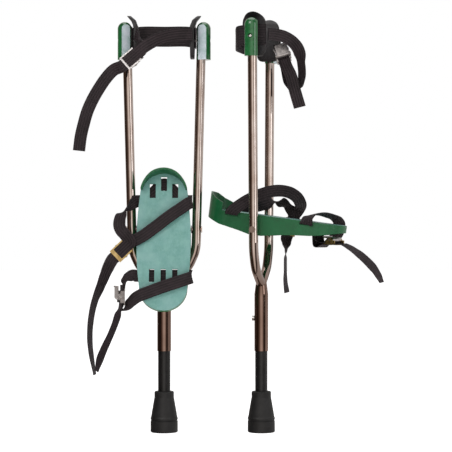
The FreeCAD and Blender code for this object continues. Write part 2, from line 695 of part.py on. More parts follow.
def in_buckle_frame(shape, side, name):
    shape = shape.copy()
    shape.Placement = FreeCAD.Placement(buckle_matrix(side, name)).multiply(shape.Placement)
    return shape


def one_stilt(side):
    """Every piece of one stilt in the stilt's own frame, by name."""
    leg_envelope, leg_tube = make_leg_tube()
    upright = make_upright(leg_envelope)
    cap = make_cap()
    pad = make_pad()
    screw = make_cap_screw()
    pieces = {
        "leg_tube": leg_tube,
        "upright_inboard": upright,
        "upright_outboard": mirrored(upright),
        "travel_bolt": make_travel_bolt(),
        "spring_cap": make_spring_cap(),
        "main_spring": make_spring(),
        "foot_rod": make_foot_rod(),
        "rod_plug": make_rod_plug(),
        "rubber_foot": make_rubber_foot(),
        "cap_inboard": cap,
        "cap_outboard": mirrored(cap),
        "cap_screws": Part.makeCompound([screw, mirrored(screw)]),
        "pad_inboard": pad,
        "pad_outboard": mirrored(pad),
        "foot_plate": place_plate(make_foot_plate(), side),
        "plate_axle": make_plate_axle(),
        "axle_nut": make_axle_nut(),
        "axle_bushes": make_axle_bushes(),
        "calf_band": calf_band(side),
        "calf_strap": calf_strap(side),
        "heel_strap": heel_strap(side),
        "toe_strap": toe_strap(side),
    }
    pins = []
    for name in ("calf", "heel", "toe"):
        pieces[name + "_buckle"] = in_buckle_frame(make_buckle_frame(), side, name)
        pieces[name + "_lever"] = in_buckle_frame(make_buckle_lever(), side, name)
        pins.append(in_buckle_frame(make_buckle_pin(), side, name))
    pieces["calf_buckle_pin"] = pins[0]
    pieces["foot_buckle_pins"] = Part.makeCompound(pins[1:])
    return pieces


def main():
    os.makedirs("parts", exist_ok=True)
    for side in ("left", "right"):
        for name, shape in one_stilt(side).items():
            shape = shape.copy()
            if side == "right":
                shape.rotate(Vector(0, 0, 0), Z_AXIS, RIGHT_YAW)
                shape.translate(Vector(STILT_SPACING, 0, 0))
            parts[side + "_" + name] = shape
    for name, shape in parts.items():
        shape.exportStep("parts/" + name + ".step")
        print(f"{name:28s} valid {shape.isValid()} solids {len(shape.Solids)} volume {shape.Volume:.0f}")
    print(len(parts), "parts")


main()
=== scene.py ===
import math

import bpy
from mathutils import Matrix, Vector, noise


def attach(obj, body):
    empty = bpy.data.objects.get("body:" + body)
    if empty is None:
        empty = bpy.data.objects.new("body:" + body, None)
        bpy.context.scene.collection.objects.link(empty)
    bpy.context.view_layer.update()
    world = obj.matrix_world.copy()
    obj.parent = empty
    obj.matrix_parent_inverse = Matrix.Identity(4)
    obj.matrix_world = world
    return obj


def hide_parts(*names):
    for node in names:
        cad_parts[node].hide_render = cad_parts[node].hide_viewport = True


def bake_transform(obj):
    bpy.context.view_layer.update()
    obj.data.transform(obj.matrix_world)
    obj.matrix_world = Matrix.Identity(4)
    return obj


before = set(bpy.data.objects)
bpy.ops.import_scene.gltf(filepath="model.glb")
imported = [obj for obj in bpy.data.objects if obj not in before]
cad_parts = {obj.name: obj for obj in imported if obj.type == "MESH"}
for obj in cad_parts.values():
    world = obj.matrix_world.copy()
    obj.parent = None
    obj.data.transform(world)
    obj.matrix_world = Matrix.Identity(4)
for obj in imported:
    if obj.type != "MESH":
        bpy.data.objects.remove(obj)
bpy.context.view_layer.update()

# Driving sizes, in metres unless a name says mm
MM = 0.001
STILT_SPACING = 0.200
RIGHT_YAW = math.radians(75.0)
PLATE_TILT = {"left": math.radians(76.0), "right": math.radians(7.5)}
PIVOT_Z_MM = 417.0
FACE_W_MM = 30.0
HEEL_SLOT_V_MM = -54.0
TOE_SLOT_V_MM = 103.0
BAND_Z_MM = 811.0
WEB_MM = 25.0
BAND_MM = 42.0
WEB_T_MM = 1.5
RIB_MM = 0.16                   # how far the woven ribs stand above the middle of the face
SELVEDGE_MM = 0.25              # how much thinner the strap is along its two edges
WAVE_MM = 0.25
WAVE_PER_MM = 0.03
RING_STEP_MM = 2.5
WEAVE_COLUMN_MM = 5.0
WEAVE_ROWS_PER_M = 330.0
TAIL_CUT = 0.55                 # slant of a strap's cut end, as a share of its width

CAMERA_HEIGHT = 0.424
CAMERA_DISTANCE = 3.40
VIEW_CENTRE_X = 0.1273
VIEW_WIDTH = 0.931
SENSOR_MM = 36.0
FLOOR_REACH = 12.0


# Places: a stilt's own axes are x across the leg, y towards the heel and z up, in millimetres.
# The strap routes give (x, forward, z) instead, where forward is towards the toe, -y.

def place(side, point_mm):
    """A point in a stilt's own millimetres, in the row frame in metres."""
    return turn(side, point_mm) * MM + Vector((STILT_SPACING if side == "right" else 0.0, 0, 0))


def turn(side, vector):
    """A direction in a stilt's own axes, in the row frame."""
    x, y, z = vector
    if side == "left":
        return Vector((x, y, z))
    c, s = math.cos(RIGHT_YAW), math.sin(RIGHT_YAW)
    return Vector((x * c - y * s, x * s + y * c, z))


# Materials

def node(tree, kind, inputs=None, **settings):
    """Adds a shader node, sets its properties and fills or links its inputs."""
    made = tree.nodes.new(kind)
    for name, value in settings.items():
        setattr(made, name, value)
    for name, value in (inputs or {}).items():
        socket = made.inputs[name]
        if isinstance(value, bpy.types.NodeSocket):
            tree.links.new(value, socket)
        else:
            socket.default_value = value
    return made


def new_material(name):
    material = bpy.data.materials.new(name)
    material.use_nodes = True
    tree = material.node_tree
    shader = tree.nodes["Principled BSDF"]
    return material, tree, shader


def object_coords(tree):
    return node(tree, "ShaderNodeTexCoord").outputs["Object"]


def noise_value(tree, scale, detail=4.0, rough=0.6, vector=None):
    """Noise from 0 to 1, fixed to the object unless another vector is given."""
    made = node(tree, "ShaderNodeTexNoise", {"Scale": scale, "Detail": detail, "Roughness": rough})
    tree.links.new(vector or object_coords(tree), made.inputs["Vector"])
    return made.outputs["Fac"]


def ramp(tree, value, stops):
    """A colour ramp from (place, colour) stops."""
    made = node(tree, "ShaderNodeValToRGB", {"Fac": value})
    elements = made.color_ramp.elements
    while len(elements) < len(stops):
        elements.new(0.5)
    for element, (place_on_ramp, colour) in zip(elements, stops):
        element.position = place_on_ramp
        element.color = (*colour, 1.0) if len(colour) == 3 else colour
    return made.outputs["Color"]


def grey(value):
    return (value, value, value)


def math_node(tree, operation, first, second=0.5, third=0.0):
    return node(tree, "ShaderNodeMath", {0: first, 1: second, 2: third}, operation=operation).outputs[0]


def dot(tree, first, second):
    """The dot product of two vectors, as a value."""
    made = node(tree, "ShaderNodeVectorMath", {0: first, 1: second}, operation="DOT_PRODUCT")
    return made.outputs["Value"]


def mix_colour(tree, factor, first, second):
    """A colour between two sockets or colours."""
    made = node(tree, "ShaderNodeMix", data_type="RGBA")
    for index, value in ((0, factor), (6, first), (7, second)):
        if isinstance(value, bpy.types.NodeSocket):
            tree.links.new(value, made.inputs[index])
        else:
            made.inputs[index].default_value = value if index == 0 else (*value, 1.0)
    return made.outputs[2]


def bump(tree, height, strength, distance):
    """A normal tipped by a height pattern; the distance is in metres."""
    made = node(tree, "ShaderNodeBump", {"Height": height, "Strength": strength, "Distance": distance})
    return made.outputs["Normal"]


def chrome_material():
    """Chrome plate with fine drawn streaks; darker and browner towards the foot, a painted dark
    reflection.
    """
    material, tree, shader = new_material("chrome_plate")
    streaks = node(tree, "ShaderNodeMapping", {"Vector": object_coords(tree), "Scale": (1, 1, 0.04)})
    fine = noise_value(tree, 900.0, 2.0, 0.5, streaks.outputs[0])
    cloud = noise_value(tree, 22.0, 5.0)
    bright = ramp(tree, cloud, [(0.3, (0.50, 0.40, 0.35)), (0.7, (0.72, 0.64, 0.60))])
    # Painted reflection: below about 0.30 to 0.39 m the chrome's colour turns dark brown, standing in for
    # dark surroundings seen in it.
    painted_dark_reflection = ramp(tree, cloud, [(0.3, (0.22, 0.145, 0.115)), (0.7, (0.34, 0.23, 0.19))])
    height = node(tree, "ShaderNodeSeparateXYZ", {"Vector": object_coords(tree)}).outputs["Z"]
    high_up = ramp(tree, height, [(0.30, grey(0)), (0.39, grey(1))])
    tree.links.new(mix_colour(tree, high_up, painted_dark_reflection, bright), shader.inputs["Base Color"])
    shader.inputs["Metallic"].default_value = 1.0
    rough = ramp(tree, fine, [(0.3, grey(0.05)), (0.8, grey(0.11))])
    tree.links.new(rough, shader.inputs["Roughness"])
    tree.links.new(bump(tree, noise_value(tree, 180.0, 2.0), 0.05, 0.0004), shader.inputs["Normal"])
    return material


def plated_material(name, dark, light, roughness):
    """Die-cast or stamped metal with a plated, slightly worn surface."""
    material, tree, shader = new_material(name)
    cloud = noise_value(tree, 160.0, 6.0)
    tree.links.new(ramp(tree, cloud, [(0.3, dark), (0.65, light)]), shader.inputs["Base Color"])
    shader.inputs["Metallic"].default_value = 1.0
    wear = noise_value(tree, 420.0, 4.0)
    rough = ramp(tree, wear, [(0.3, grey(roughness)), (0.8, grey(roughness + 0.2))])
    tree.links.new(rough, shader.inputs["Roughness"])
    tree.links.new(bump(tree, noise_value(tree, 1500.0, 3.0), 0.2, 0.0002), shader.inputs["Normal"])
    return material


def dark_material(name, low, high, roughness, grain, depth):
    """Black plastic, paint, rubber or foam skin, told apart by grain and sheen."""
    material, tree, shader = new_material(name)
    cloud = noise_value(tree, 45.0, 6.0)
    tree.links.new(ramp(tree, cloud, [(0.3, low), (0.7, high)]), shader.inputs["Base Color"])
    wear = noise_value(tree, 140.0, 5.0)
    rough = ramp(tree, wear, [(0.25, grey(roughness - 0.08)), (0.8, grey(roughness + 0.1))])
    tree.links.new(rough, shader.inputs["Roughness"])
    tree.links.new(bump(tree, noise_value(tree, grain, 3.0), 0.35, depth), shader.inputs["Normal"])
    return material


def cap_material(side):
    """Glossy green plastic whose two slanted flats carry a pale painted highlight."""
    material, tree, shader = new_material("cap_green_gloss_" + side)
    toe_way = turn(side, (0, 1, 0))
    coords = node(tree, "ShaderNodeTexCoord")
    facing = dot(tree, coords.outputs["Normal"], toe_way)
    # Painted highlight: the flats facing toe and heel get a pale grey-green colour in place of a
    # reflection.
    painted_highlight_mask = math_node(tree, "GREATER_THAN", math_node(tree, "ABSOLUTE", facing, 0.0), 0.95)
    highlight_mottle = noise_value(tree, 70.0, 6.0, 0.7)
    pale = ramp(tree, highlight_mottle, [
        (0.3, (0.30, 0.42, 0.40)), (0.5, (0.45, 0.52, 0.55)), (0.7, (0.58, 0.60, 0.66)),
    ])
    cloud = noise_value(tree, 60.0, 4.0)
    colour = ramp(tree, cloud, [(0.3, (0.008, 0.070, 0.020)), (0.7, (0.014, 0.120, 0.034))])
    tree.links.new(mix_colour(tree, painted_highlight_mask, colour, pale), shader.inputs["Base Color"])
    rough = ramp(tree, noise_value(tree, 240.0, 5.0), [(0.3, grey(0.12)), (0.8, grey(0.26))])
    tree.links.new(rough, shader.inputs["Roughness"])
    shader.inputs["Coat Weight"].default_value = 0.6
    shader.inputs["Coat Roughness"].default_value = 0.08
    tree.links.new(bump(tree, noise_value(tree, 90.0, 3.0), 0.08, 0.0006), shader.inputs["Normal"])
    return material


def plate_material(side):
    """Green moulded plastic whose standing face is scuffed pale."""
    material, tree, shader = new_material("plate_green_" + side)
    tilt = PLATE_TILT[side]
    out = turn(side, (0, -math.sin(tilt), math.cos(tilt)))
    pivot = place(side, (0, 0, PIVOT_Z_MM))
    coords = node(tree, "ShaderNodeTexCoord")
    from_pivot = node(
        tree, "ShaderNodeVectorMath", {0: coords.outputs["Object"], 1: pivot}, operation="SUBTRACT")
    height = dot(tree, from_pivot.outputs[0], out)
    facing = dot(tree, coords.outputs["Normal"], out)
    at_face = math_node(tree, "COMPARE", height, FACE_W_MM * MM, 0.0012)
    is_flat = math_node(tree, "GREATER_THAN", facing, 0.8)
    face_mask = math_node(tree, "MULTIPLY", at_face, is_flat)

    cloud = noise_value(tree, 26.0, 8.0, 0.68)
    patches = noise_value(tree, 75.0, 6.0, 0.7)
    scuff_vector = node(
        tree, "ShaderNodeMapping", {"Vector": coords.outputs["Object"], "Scale": (1, 1, 0.12)})
    scuffs = noise_value(tree, 420.0, 6.0, 0.75, scuff_vector.outputs[0])
    face = ramp(tree, cloud, [
        (0.28, (0.09, 0.24, 0.20)), (0.5, (0.13, 0.30, 0.27)), (0.72, (0.18, 0.34, 0.32)),
    ])
    patch_share = ramp(tree, patches, [(0.45, grey(0)), (0.75, grey(0.55))])
    worn = mix_colour(tree, patch_share, face, (0.21, 0.40, 0.35))
    scuff_share = ramp(tree, scuffs, [(0.56, grey(0)), (0.8, grey(0.5))])
    pale = mix_colour(tree, scuff_share, worn, (0.31, 0.50, 0.48))
    skirt = ramp(tree, cloud, [(0.3, (0.003, 0.066, 0.020)), (0.7, (0.006, 0.105, 0.034))])
    colour = mix_colour(tree, face_mask, skirt, pale)
    tree.links.new(colour, shader.inputs["Base Color"])
    plain_rough = ramp(tree, patches, [(0.3, grey(0.30)), (0.8, grey(0.44))])
    roughness = mix_colour(tree, face_mask, plain_rough, grey(0.42))
    tree.links.new(roughness, shader.inputs["Roughness"])
    scratch = math_node(tree, "MULTIPLY", scuffs, 0.6)
    grain = math_node(tree, "ADD", noise_value(tree, 900.0, 3.0), scratch)
    tree.links.new(bump(tree, grain, 0.22, 0.0004), shader.inputs["Normal"])
    return material


def webbing_material(name, width_mm, low, high):
    """Woven tape: chevron threads in narrow columns, with thread noise and a dull sheen."""
    material, tree, shader = new_material(name)
    uv = node(tree, "ShaderNodeTexCoord").outputs["UV"]
    split = node(tree, "ShaderNodeSeparateXYZ", {"Vector": uv})
    across, along = split.outputs["X"], split.outputs["Y"]
    columns = math_node(tree, "MULTIPLY", across, round(width_mm / WEAVE_COLUMN_MM))
    zigzag = math_node(tree, "PINGPONG", columns, 0.5)
    rows = math_node(tree, "MULTIPLY", along, WEAVE_ROWS_PER_M)
    phase = math_node(tree, "ADD", rows, math_node(tree, "MULTIPLY", zigzag, 3.4))
    threads = math_node(tree, "SINE", math_node(tree, "MULTIPLY", phase, 2 * math.pi))
    gutters = math_node(tree, "SINE", math_node(tree, "MULTIPLY", columns, 2 * math.pi))
    fuzz = noise_value(tree, 1900.0, 3.0)
    cloud = noise_value(tree, 38.0, 5.0)
    ribs = math_node(tree, "MULTIPLY", gutters, 0.45)
    height = math_node(tree, "ADD", math_node(tree, "MULTIPLY", threads, 0.5), ribs)
    height = math_node(tree, "ADD", height, fuzz)
    # Base colour follows the weave's height: partly the tape's woven pattern, partly painted shade in the
    # gutters and thread valleys.
    shade = math_node(tree, "MULTIPLY_ADD", height, 0.32, math_node(tree, "MULTIPLY", cloud, 0.55))
    tree.links.new(ramp(tree, shade, [(0.15, low), (0.75, high)]), shader.inputs["Base Color"])
    shader.inputs["Roughness"].default_value = 0.6
    shader.inputs["Specular IOR Level"].default_value = 0.3
    shader.inputs["Sheen Weight"].default_value = 0.05
    shader.inputs["Sheen Roughness"].default_value = 0.45
    shader.inputs["Sheen Tint"].default_value = (0.75, 0.68, 0.78, 1.0)
    tree.links.new(bump(tree, height, 0.7, 0.00035), shader.inputs["Normal"])
    return material


CHROME = chrome_material()
ZINC = plated_material("zinc_plate", (0.45, 0.44, 0.43), (0.75, 0.74, 0.72), 0.28)
NICKEL = plated_material("buckle_nickel", (0.42, 0.41, 0.42), (0.70, 0.68, 0.68), 0.24)
YELLOW_ZINC = plated_material("buckle_yellow_zinc", (0.42, 0.29, 0.10), (0.72, 0.54, 0.26), 0.24)
SPRING_STEEL = plated_material("spring_steel", (0.14, 0.14, 0.15), (0.3, 0.3, 0.31), 0.3)
ROD_BLACK = dark_material(
    "rod_black_paint", (0.003, 0.003, 0.0033), (0.007, 0.007, 0.0073), 0.34, 700.0, 0.0002)
FOOT_RUBBER = dark_material(
    "foot_rubber", (0.004, 0.004, 0.0042), (0.009, 0.009, 0.0095), 0.55, 520.0, 0.0004)
BLACK_PLASTIC = dark_material("black_plastic", grey(0.012), grey(0.02), 0.42, 800.0, 0.0002)
PAD_FOAM = dark_material(
    "pad_foam_skin", (0.004, 0.0035, 0.004), (0.011, 0.009, 0.011), 0.5, 650.0, 0.0005)
WEBBING = webbing_material("webbing_black", WEB_MM, (0.0008, 0.0006, 0.0008), (0.034, 0.021, 0.025))
BAND_WEB = webbing_material("calf_band_webbing", BAND_MM, (0.0008, 0.0006, 0.0008), (0.030, 0.019, 0.022))


def paint(name, material):
    """Gives a CAD node its material."""
    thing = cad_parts[name]
    thing.data.materials.clear()
    thing.data.materials.append(material)


FINISHES = {
    "leg_tube": CHROME, "upright_inboard": CHROME, "upright_outboard": CHROME,
    "travel_bolt": ZINC, "spring_cap": BLACK_PLASTIC, "main_spring": SPRING_STEEL,
    "foot_rod": ROD_BLACK, "rod_plug": BLACK_PLASTIC, "rubber_foot": FOOT_RUBBER,
    "cap_screws": ZINC, "plate_axle": CHROME, "axle_nut": CHROME, "axle_bushes": BLACK_PLASTIC,
    "calf_buckle": NICKEL, "calf_lever": NICKEL, "calf_buckle_pin": ZINC,
    "heel_buckle": YELLOW_ZINC, "heel_lever": YELLOW_ZINC, "foot_buckle_pins": ZINC,
    "toe_buckle": NICKEL, "toe_lever": NICKEL,
}
for side in ("left", "right"):
    for short_name, finish in FINISHES.items():
        paint(side + "_" + short_name, finish)
    paint(side + "_foot_plate", plate_material(side))
    cap_green = cap_material(side)
    paint(side + "_cap_inboard", cap_green)
    paint(side + "_cap_outboard", cap_green)
paint("right_toe_buckle", YELLOW_ZINC)


# Webbing

def square_ways(points, ways):
    """Each station's width direction, square to the route and without sudden turn-overs."""
    squared = []
    for index, way in enumerate(ways):
        tangent = points[min(index + 1, len(points) - 1)] - points[max(index - 1, 0)]
        tangent.normalize()
        way = Vector((way[0], -way[1], way[2]))
        across = (way - tangent * way.dot(tangent)).normalized()
        if squared and across.dot(squared[-1]) < 0:
            across = -across
        squared.append(across)
    return squared


def smooth_route(stations, step_mm):
    """Even rings along a smooth curve through the stations: (point, width direction) in stilt axes."""
    points = [Vector((x, -forward, z)) for (x, forward, z), _ in stations]
    ways = square_ways(points, [way for _, way in stations])
    points = [points[0] * 2 - points[1]] + points + [points[-1] * 2 - points[-2]]
    rings = []
    for index in range(1, len(points) - 2):
        p0, p1, p2, p3 = points[index - 1:index + 3]
        span = (p2 - p1).length
        count = max(2, round(span / step_mm))
        before = (p2 - p0) * (span / ((p1 - p0).length + span))
        after = (p3 - p1) * (span / (span + (p3 - p2).length))
        for k in range(count):
            t = k / count
            t2, t3 = t * t, t * t * t
            point = (p1 * (2 * t3 - 3 * t2 + 1) + before * (t3 - 2 * t2 + t)
                     + p2 * (3 * t2 - 2 * t3) + after * (t3 - t2))
            ease = t * t * (3 - 2 * t)
            rings.append((point, ways[index - 1].lerp(ways[index], ease)))
    rings.append((points[-2], ways[-1]))
    return rings


def strap_rings(rings, width, cut, ribs, columns):
    """The strap's section at every ring, and the length of webbing up to each ring."""
    half = width / 2
    verts, lengths = [], []
    run = 0.0
    for index, (point, way) in enumerate(rings):
        before = rings[max(index - 1, 0)][0]
        after = rings[min(index + 1, len(rings) - 1)][0]
        tangent = (after - before).normalized()
        across = (way - tangent * way.dot(tangent)).normalized()
        out = tangent.cross(across).normalized()
        run += (point - before).length if index else 0.0
        lengths.append(run)
        near_end = max(0.0, 1.0 - (len(rings) - 1 - index) * RING_STEP_MM / width)
        for face in (1, -1):
            for column in range(columns + 1):
                u = column / columns if face == 1 else 1 - column / columns
                rib = -SELVEDGE_MM
                if 0 < column < columns:
                    rib = RIB_MM * math.cos(2 * math.pi * ribs * u)
                wave = WAVE_MM * noise.noise(Vector((run * WAVE_PER_MM, u * 2.0, width + half)))
                sideways = across * (half * (2 * u - 1))
                outwards = out * (face * (WEB_T_MM / 2 + rib) + wave)
                skew = tangent * ((u - 0.5) * cut * near_end)
                verts.append(point + sideways + outwards + skew)
    return verts, lengths


def ribbon(name, side, stations, width, material, cut=0.0, ribs=5):
    """A woven strap: a thin ribbed section swept along a route, with UVs in metres along it."""
    rings = smooth_route(stations, RING_STEP_MM)
    columns = ribs * 4
    verts, lengths = strap_rings(rings, width, cut, ribs, columns)
    ring_size = 2 * (columns + 1)
    faces = []
    uvs = []
    for ring in range(len(rings) - 1):
        for k in range(ring_size):
            after_k = (k + 1) % ring_size
            a, b = ring * ring_size + k, ring * ring_size + after_k
            faces.append((a, b, b + ring_size, a + ring_size))
            v0, v1 = lengths[ring] * MM, lengths[ring + 1] * MM
            u0, u1 = column_u(k, columns), column_u(after_k, columns)
            uvs.extend([(u0, v0), (u1, v0), (u1, v1), (u0, v1)])
    for start in (0, (len(rings) - 1) * ring_size):
        for column in range(columns):
            top = start + column
            bottom = start + ring_size - 1 - column
            quad = (top, bottom, bottom - 1, top + 1)
            faces.append(quad if start else quad[::-1])
            uvs.extend([(0.5, 0.0)] * 4)
    mesh = smooth_mesh(name, [place(side, v) for v in verts], faces, material)
    layer = mesh.uv_layers.new(name="weave")
    for loop, uv in zip(layer.data, uvs):
        loop.uv = uv
    return link(name, mesh)


def smooth_mesh(name, verts, faces, material):
    mesh = bpy.data.meshes.new(name)
    mesh.from_pydata(verts, [], faces)
    mesh.materials.append(material)
    mesh.shade_smooth()
    return mesh


def column_u(k, columns):
    """How far across the strap a ring's point k is: once along its face and back along the other."""
    return k / columns if k <= columns else 1 - (k - columns - 1) / columns


def link(name, data):
    thing = bpy.data.objects.new(name, data)
    bpy.context.scene.collection.objects.link(thing)
    return thing


# Where each buckle sits: base centre, direction of the strap through it, and outward normal,
# all as (x, forward, z)
BUCKLES = {
    "left": {
        "calf": ((-66, 56, 763), (-0.76, 0, -0.65), (0, -1, -0.1)),
        "heel": ((-86, 47, 373), (-0.72, 0, -0.69), (0, -1, 0)),
        "toe": ((-81, 60, 281), (0, 0, -1), (-0.95, 0.3, 0)),
    },
    "right": {
        "calf": ((40, 35, 779), (0.08, 0.29, -0.95), (-0.93, 0.35, 0.15)),
        "heel": ((79.6, 43, 422), (0, -0.35, -0.94), (1, 0, 0)),
        "toe": ((20, 150, 386), (-0.5, 0.86, -0.06), (0, 0, 1)),
    },
}
BUCKLE_LENGTH_MM = 34.0
BUCKLE_MIDDLE_MM = 2.4          # from the back of a buckle's base to the middle of its webbing


def buckle_axes(side, name):
    """Origin, strap direction, sideways direction and outward normal in the stilt's own axes."""
    origin, along, normal = (Vector((x, -forward, z)) for x, forward, z in BUCKLES[side][name])
    along.normalize()
    normal = (normal - along * normal.dot(along)).normalized()
    return origin, along, normal.cross(along), normal


def buckle_station(side, name, along_mm, out_mm):
    """A webbing station at a place in the buckle's own frame."""
    origin, along, across, normal = buckle_axes(side, name)
    point = origin + along * along_mm + normal * out_mm
    return (point.x, -point.y, point.z), (across.x, -across.y, across.z)


def buckle_passage(side, name, entry=-1):
    """The straight stretch of webbing between a buckle's cam and its base, from the entry end."""
    middle = BUCKLE_MIDDLE_MM
    reach = BUCKLE_LENGTH_MM / 2 + 2
    places = [entry * step for step in (reach + 9, reach, 0, -reach, -reach - 5)]
    return [buckle_station(side, name, place, middle) for place in places]


def sewn_end(side, name, start=-11):
    """The webbing's other end, which is sewn round the back of its buckle's upper bar."""
    reach = BUCKLE_LENGTH_MM / 2
    behind = -1.0
    return [
        buckle_station(side, name, start, behind),
        buckle_station(side, name, -reach - 2, behind - 0.1),
        buckle_station(side, name, -reach - 9, behind - 1.2),
    ]


def under_plate(side, end_v, slot_v, middle_v, reach):
    """Webbing under the standing face: out through the skirt at each side, bowed in between."""
    tilt = PLATE_TILT[side]
    w = FACE_W_MM - 6
    along = (0, math.cos(tilt), -math.sin(tilt))
    half = [(reach, end_v), (48.5, end_v), (41, end_v), (22, slot_v), (0, middle_v)]
    plan = [(-x, v) for x, v in half] + half[-2::-1]
    stations = []
    for index, (x, v) in enumerate(plan):
        before = plan[max(index - 1, 0)]
        after = plan[min(index + 1, len(plan) - 1)]
        slope = (after[1] - before[1]) / (after[0] - before[0])
        forward = v * math.cos(tilt) + w * math.sin(tilt)
        z = PIVOT_Z_MM - v * math.sin(tilt) + w * math.cos(tilt)
        stations.append(((x, forward, z), (-slope, along[1], along[2])))
    return stations


def calf_band_route(side):
    """The wide band behind the calf, pushed up on the left stilt and slack on the right."""
    rise = 1 if side == "left" else -1
    plan = [(26, 65.2, 0), (0, 65.2, 0), (-28, 65.2, 2), (-36, 60, 5), (-43, 42, 8), (-46, 0, 8)]
    stations = [((x, forward, BAND_Z_MM + rise * lift), (0, 0, 1)) for forward, x, lift in plan]
    stations += [((-x, forward, z), way) for (x, forward, z), way in reversed(stations[:-1])]
    return stations


def calf_strap_routes(side):
    """The strap in front of the calf: one piece carries the buckle, the other goes through it."""
    if side == "left":
        buckle_piece = [
            ((58, 29, 816), (0, 0.1, 1)),
            ((40, 37, 815), (0, 0.1, 1)),
            ((18, 45, 812), (0, 0.2, 0.95)),
            ((-4, 51, 806), (-0.2, 0.45, 0.85)),
            ((-24, 55.5, 796), (-0.5, 0.2, 0.8)),
            buckle_station(side, "calf", -32, -3.0),
            buckle_station(side, "calf", -19, -1.4),
            buckle_station(side, "calf", -10, -1.0),
            buckle_station(side, "calf", 13, -1.0),
        ]
        free_piece = [
            ((-58, 30, 816), (0, 0, 1)),
            ((-52, 38, 811), (-0.2, 0, 0.95)),
            ((-43, 49, 800), (-0.5, 0, 0.85)),
        ] + buckle_passage(side, "calf") + [
            ((-101, 45, 741), (-0.65, 0, 0.75)),
            ((-117, 44, 724), (-0.75, 0.1, 0.6)),
            ((-132, 43, 702), (-0.85, 0.1, 0.5)),
            ((-145, 43, 679), (-0.9, 0.15, 0.4)),
            ((-155, 43, 656), (-0.95, 0.2, 0.35)),
            ((-162, 42, 632), (-0.95, 0.2, 0.25)),
            ((-168, 41, 607), (-0.95, 0.2, 0.2)),
            ((-172, 40, 577), (-0.95, 0.2, 0.1)),
        ]
        return [buckle_piece, free_piece]
    loop = [
        ((-58, 29, 812), (0, 0, 1)),
        ((-36, 39, 813), (0, 0, 1)),
        ((-10, 54, 810), (0, 0.1, 1)),
        ((13, 66, 800), (-0.2, 0.25, 0.9)),
        ((28, 73, 786), (-0.35, 0.45, 0.7)),
        ((40, 75, 763), (-0.6, 0.6, 0.35)),
        ((44, 76, 738), (-0.6, 0.75, 0.1)),
        ((43, 73, 716), (-0.7, 0.65, 0)),
        ((41, 65, 703), (-0.95, 0.2, 0.1)),
        ((43, 54, 708), (-0.95, -0.3, -0.1)),
        ((44, 47, 728), (-0.6, -0.75, -0.15)),
    ]
    tail = [
        buckle_station(side, "calf", 9.5, 4.8),
        buckle_station(side, "calf", 24, 7.0),
        ((30, 56, 734), (0.25, 0.92, 0.29)),
        ((29, 65, 702), (0.25, 0.92, 0.29)),
        ((28, 75, 669), (0.25, 0.92, 0.29)),
    ]
    through = buckle_passage(side, "calf", 1)
    return [loop + through, tail]


def heel_strap_routes(side):
    if side == "left":
        slots = under_plate(side, HEEL_SLOT_V_MM, -72, -90, 53.5)
        stations = sewn_end(side, "heel", 9) + [
            ((-78, 52, 407), (0.95, 0, -0.35)),
            ((-85, 52, 415), (1, 0, -0.2)),
            ((-89, 51, 425), (1, 0, -0.1)),
            ((-87, 46, 443), (0.9, 0.1, 0.3)),
            ((-77, 36, 458), (0.6, 0, 0.75)),
            ((-64, 24, 469), (0.3, -0.2, 0.9)),
            ((-57, 14, 474.5), (0, -0.24, 0.97)),
        ] + slots + [
            ((56.5, 13, 475), (0, 0.24, -0.97)),
            ((57, 21, 473), (0.1, 0.2, -0.97)),
            ((50, 28, 470), (0.4, 0, -0.9)),
            ((34, 30, 459), (0.62, 0, -0.78)),
            ((12, 34, 444), (0.64, 0, -0.77)),
            ((-14, 38, 424), (0.64, 0, -0.77)),
            ((-40, 41, 405), (0.64, 0, -0.77)),
            ((-58, 43.5, 395), (0.66, 0, -0.75)),
        ] + buckle_passage(side, "heel") + [
            ((-110, 48, 344), (-0.65, 0.3, 0.65)),
            ((-119, 48, 323), (-0.7, 0.6, 0.35)),
            ((-128, 49, 300), (-0.6, 0.75, 0.25)),
            ((-139, 50, 272), (-0.45, 0.88, 0.15)),
            ((-146, 50, 240), (-0.4, 0.92, 0.1)),
            ((-149, 50, 204), (-0.35, 0.94, 0)),
            ((-147, 49, 168), (-0.3, 0.95, 0)),
            ((-139, 48, 122), (-0.15, 0.98, 0)),
        ]
        return [stations]
    slots = under_plate(side, HEEL_SLOT_V_MM, -72, -90, 53.5)[::-1]
    stations = sewn_end(side, "heel") + [
        ((77, 45, 458), (0, -0.9, 0.3)),
        ((71, 39, 466), (-0.3, -0.7, 0.4)),
        ((62, 29, 473), (-0.5, -0.8, 0.1)),
        ((52, 17, 475), (-0.2, -0.9, 0)),
        ((49.5, 3, 472), (0, -1, 0)),
        ((50, -14, 467), (0, -1, -0.1)),
        ((53, -32, 460), (0, -1, -0.2)),
        ((56.5, -44, 455), (0, -1, 0)),
        ((56.8, -50, 450), (0, -1, 0)),
    ] + slots + [
        ((-56.8, -50, 450), (0, 1, 0)),
        ((-57, -45, 456), (0, 1, -0.2)),
        ((-54, -32, 466), (0.1, 0.75, -0.6)),
        ((-46, -14, 478), (0.3, 0.5, -0.8)),
        ((-34, 9, 489), (0.4, 0.4, -0.8)),
        ((-13, 33, 496), (0.4, 0.1, -0.9)),
        ((11, 54, 494), (0.3, -0.3, -0.9)),
        ((33, 67, 484), (0, -0.7, -0.7)),
        ((53, 71, 470), (-0.1, -0.9, -0.3)),
        ((72, 65, 460), (-0.1, -0.95, -0.1)),
    ] + buckle_passage(side, "heel") + [
        ((81, 35, 388), (0.5, -0.85, 0.2)),
        ((80, 34, 374), (0.9, -0.4, 0.1)),
        ((79, 33, 356), (1, 0, 0)),
        ((78, 33, 334), (1, 0, 0)),
        ((78, 33, 308), (1, 0.1, 0)),
        ((79, 36, 284), (1, 0.2, 0)),
    ]
    return [stations]


